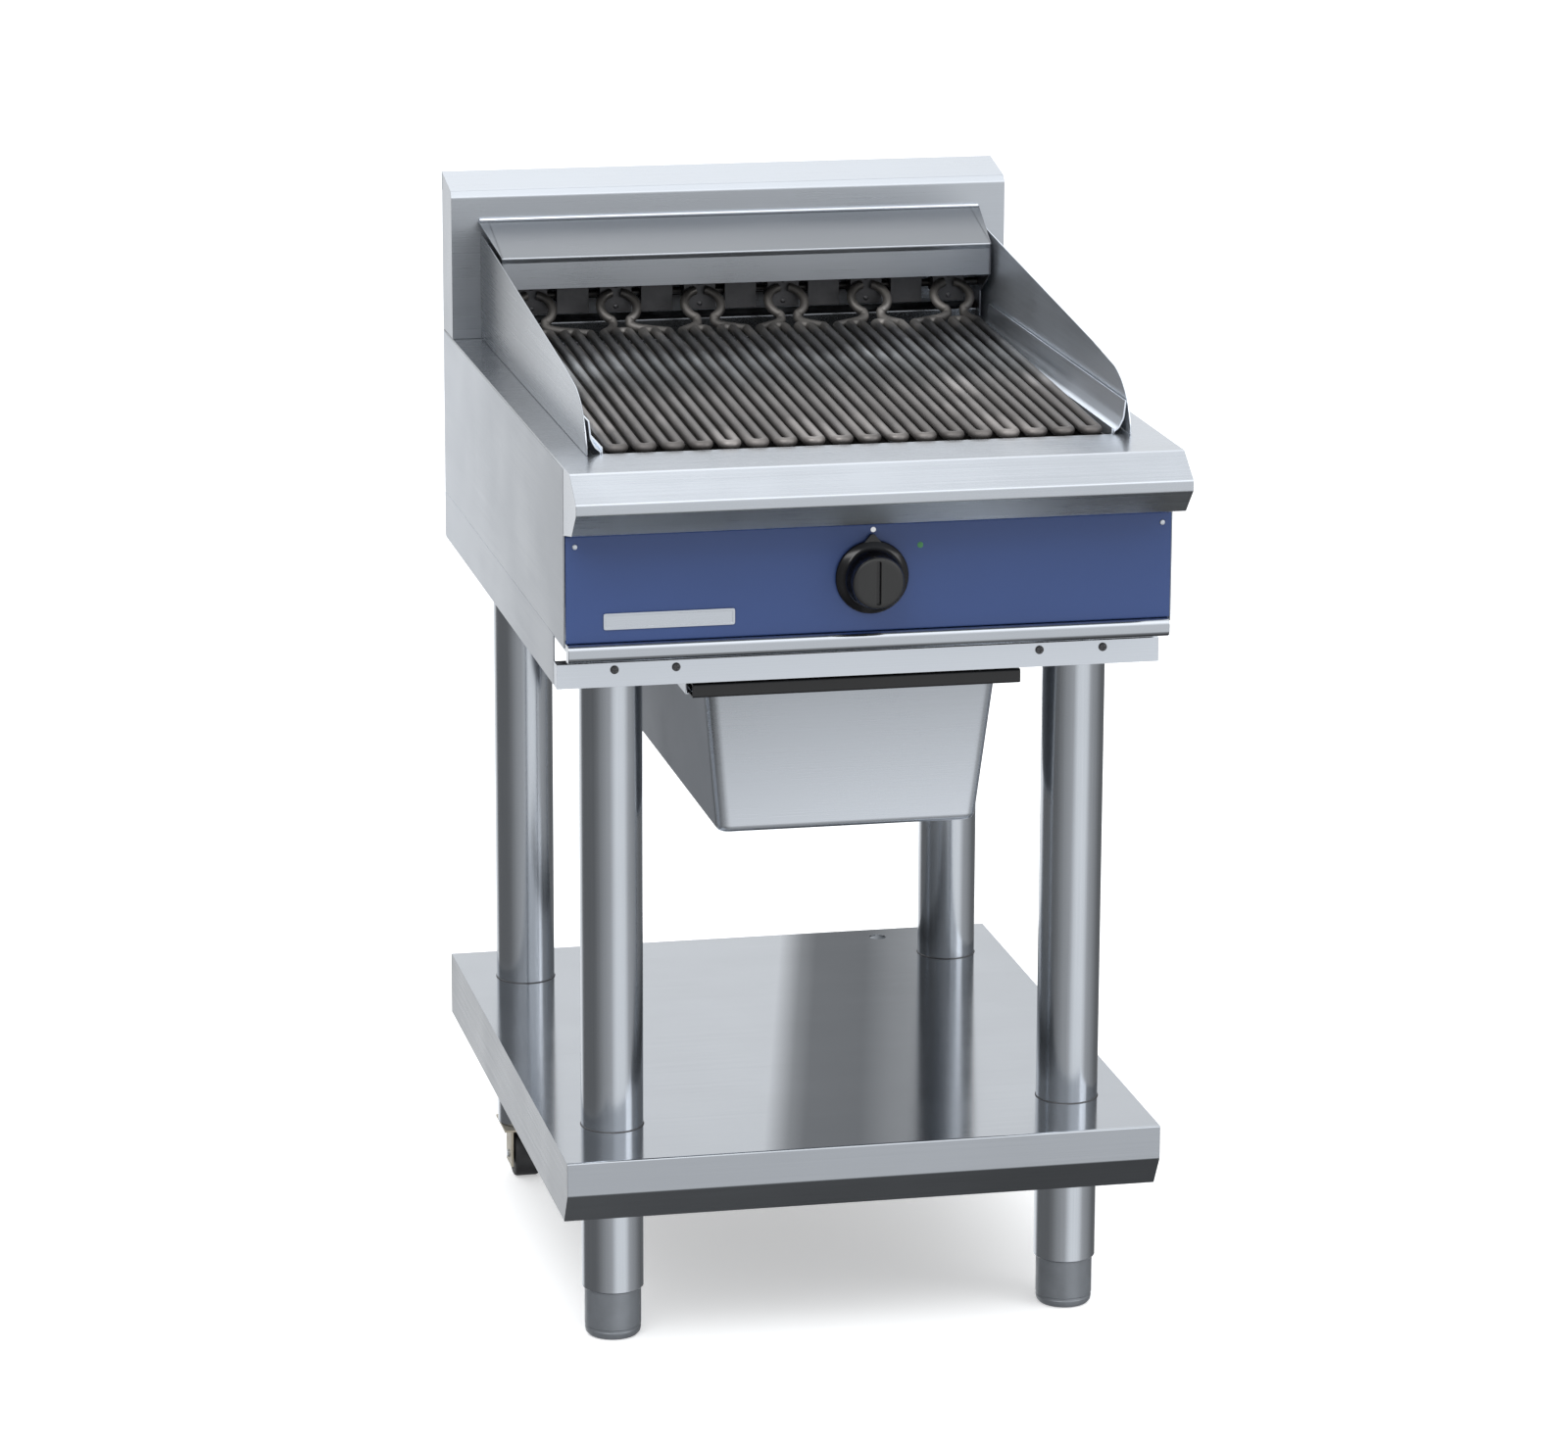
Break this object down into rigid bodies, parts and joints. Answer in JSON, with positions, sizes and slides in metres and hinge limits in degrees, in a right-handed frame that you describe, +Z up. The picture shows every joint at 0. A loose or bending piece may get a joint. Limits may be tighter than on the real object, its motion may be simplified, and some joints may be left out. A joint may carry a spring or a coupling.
{
  "type": "charbroiler grill",
  "caption": "Electric charbroiler on a leg stand: splashback, side guards, hinged heating elements as the cooking grid, blue control panel with a knob, drip pan, shelf, feet and rollers.",
  "frame": {"origin": "on the floor, at the centre of the footprint", "axes": "+Z up, +X to the right seen from the front, the control panel faces -Y"},
  "size_m": [0.6, 0.812, 1.085],
  "materials": {
    "brushed_steel": "brushed stainless steel",
    "polished_shelf": "finely brushed, nearly polished stainless steel",
    "leg_steel": "satin stainless tube",
    "bright_trim": "bright polished steel",
    "pan_steel": "satin stainless steel",
    "blue_panel": "satin blue enamel",
    "black_plastic": "glossy black moulding",
    "black_enamel": "black enamel",
    "element_sheath": "heat-stained nickel-alloy sheath",
    "dark_steel": "heat-darkened steel",
    "clamp_steel": "dull grey steel",
    "ceramic": "unglazed steatite",
    "foot_grey": "grey moulded foot",
    "zinc": "zinc-plated steel",
    "wheel_rubber": "hard black rubber"
  },
  "bodies": {
    "stand_and_body": {"hob_top": "brushed_steel", "side_panel_left": "brushed_steel", "side_panel_right": "brushed_steel", "base_skirt_left": "brushed_steel", "base_skirt_right": "brushed_steel", "rear_panel": "brushed_steel", "rear_rail": "brushed_steel", "front_rail": "brushed_steel", "splashback": "brushed_steel", "splashback_cover": "brushed_steel", "element_hood": "brushed_steel", "rear_sill": "brushed_steel", "side_guard_left": "brushed_steel", "side_guard_right": "brushed_steel", "leg_beam_left": "brushed_steel", "leg_beam_right": "brushed_steel", "pan_runner_left": "brushed_steel", "pan_runner_right": "brushed_steel", "shelf": "polished_shelf", "leg_front_left": "leg_steel", "leg_front_right": "leg_steel", "leg_rear_left": "leg_steel", "leg_rear_right": "leg_steel", "panel_trim": "bright_trim", "badge_plate": "bright_trim", "gutter_left": "bright_trim", "gutter_right": "bright_trim", "roller_axle_left": "bright_trim", "roller_axle_right": "bright_trim", "control_panel": "blue_panel", "cable_gland": "black_plastic", "hinge_rod": "dark_steel", "grid_rest_bar": "dark_steel", "well_liner": "dark_steel", "rod_support_1": "clamp_steel", "rod_support_2": "clamp_steel", "rod_support_3": "clamp_steel", "rod_support_4": "clamp_steel", "rod_support_5": "clamp_steel", "energy_regulator": "ceramic", "terminal_block": "ceramic", "leg_plug_left": "foot_grey", "leg_plug_right": "foot_grey", "roller_bracket_left": "zinc", "roller_bracket_right": "zinc"},
    "knob_assembly": {"knob": "black_plastic", "knob_spindle": "bright_trim"},
    "drip_pan_drawer": {"drip_pan": "pan_steel", "pan_grip": "black_enamel"},
    "heating_element_1": {"element_1": "element_sheath"},
    "heating_element_2": {"element_2": "element_sheath"},
    "heating_element_3": {"element_3": "element_sheath"},
    "heating_element_4": {"element_4": "element_sheath"},
    "heating_element_5": {"element_5": "element_sheath"},
    "heating_element_6": {"element_6": "element_sheath"},
    "screw_foot_left": {"foot_left": "foot_grey"},
    "wheel_left": {"roller_wheel_left": "wheel_rubber"},
    "screw_foot_right": {"foot_right": "foot_grey"},
    "wheel_right": {"roller_wheel_right": "wheel_rubber"}
  },
  "joints": [
    {"name": "knob_turn", "type": "hinge", "parent": "stand_and_body", "child": "knob_assembly", "pos_m": [0, -0.337, 0.796], "axis": [0, 1, 0], "range_deg": [0, 270]},
    {"name": "pan_slide", "type": "slide", "parent": "stand_and_body", "child": "drip_pan_drawer", "axis": [0, -1, 0], "range_m": [0, 0.48]},
    {"name": "element_1_lift", "type": "hinge", "parent": "stand_and_body", "child": "heating_element_1", "pos_m": [-0.205, 0.301, 0.966], "axis": [-1, 0, 0], "range_deg": [0, 35]},
    {"name": "element_2_lift", "type": "hinge", "parent": "stand_and_body", "child": "heating_element_2", "pos_m": [-0.123, 0.301, 0.966], "axis": [-1, 0, 0], "range_deg": [0, 35]},
    {"name": "element_3_lift", "type": "hinge", "parent": "stand_and_body", "child": "heating_element_3", "pos_m": [-0.041, 0.301, 0.966], "axis": [-1, 0, 0], "range_deg": [0, 35]},
    {"name": "element_4_lift", "type": "hinge", "parent": "stand_and_body", "child": "heating_element_4", "pos_m": [0.041, 0.301, 0.966], "axis": [-1, 0, 0], "range_deg": [0, 35]},
    {"name": "element_5_lift", "type": "hinge", "parent": "stand_and_body", "child": "heating_element_5", "pos_m": [0.123, 0.301, 0.966], "axis": [-1, 0, 0], "range_deg": [0, 35]},
    {"name": "element_6_lift", "type": "hinge", "parent": "stand_and_body", "child": "heating_element_6", "pos_m": [0.205, 0.301, 0.966], "axis": [-1, 0, 0], "range_deg": [0, 35]},
    {"name": "foot_left_screw", "type": "slide", "parent": "stand_and_body", "child": "screw_foot_left", "axis": [0, 0, -1], "range_m": [0, 0.02]},
    {"name": "roller_left_spin", "type": "hinge", "parent": "stand_and_body", "child": "wheel_left", "pos_m": [-0.239, 0.283, 0.025], "axis": [1, 0, 0], "continuous": true},
    {"name": "foot_right_screw", "type": "slide", "parent": "stand_and_body", "child": "screw_foot_right", "axis": [0, 0, -1], "range_m": [0, 0.02]},
    {"name": "roller_right_spin", "type": "hinge", "parent": "stand_and_body", "child": "wheel_right", "pos_m": [0.239, 0.283, 0.025], "axis": [1, 0, 0], "continuous": true}
  ]
}
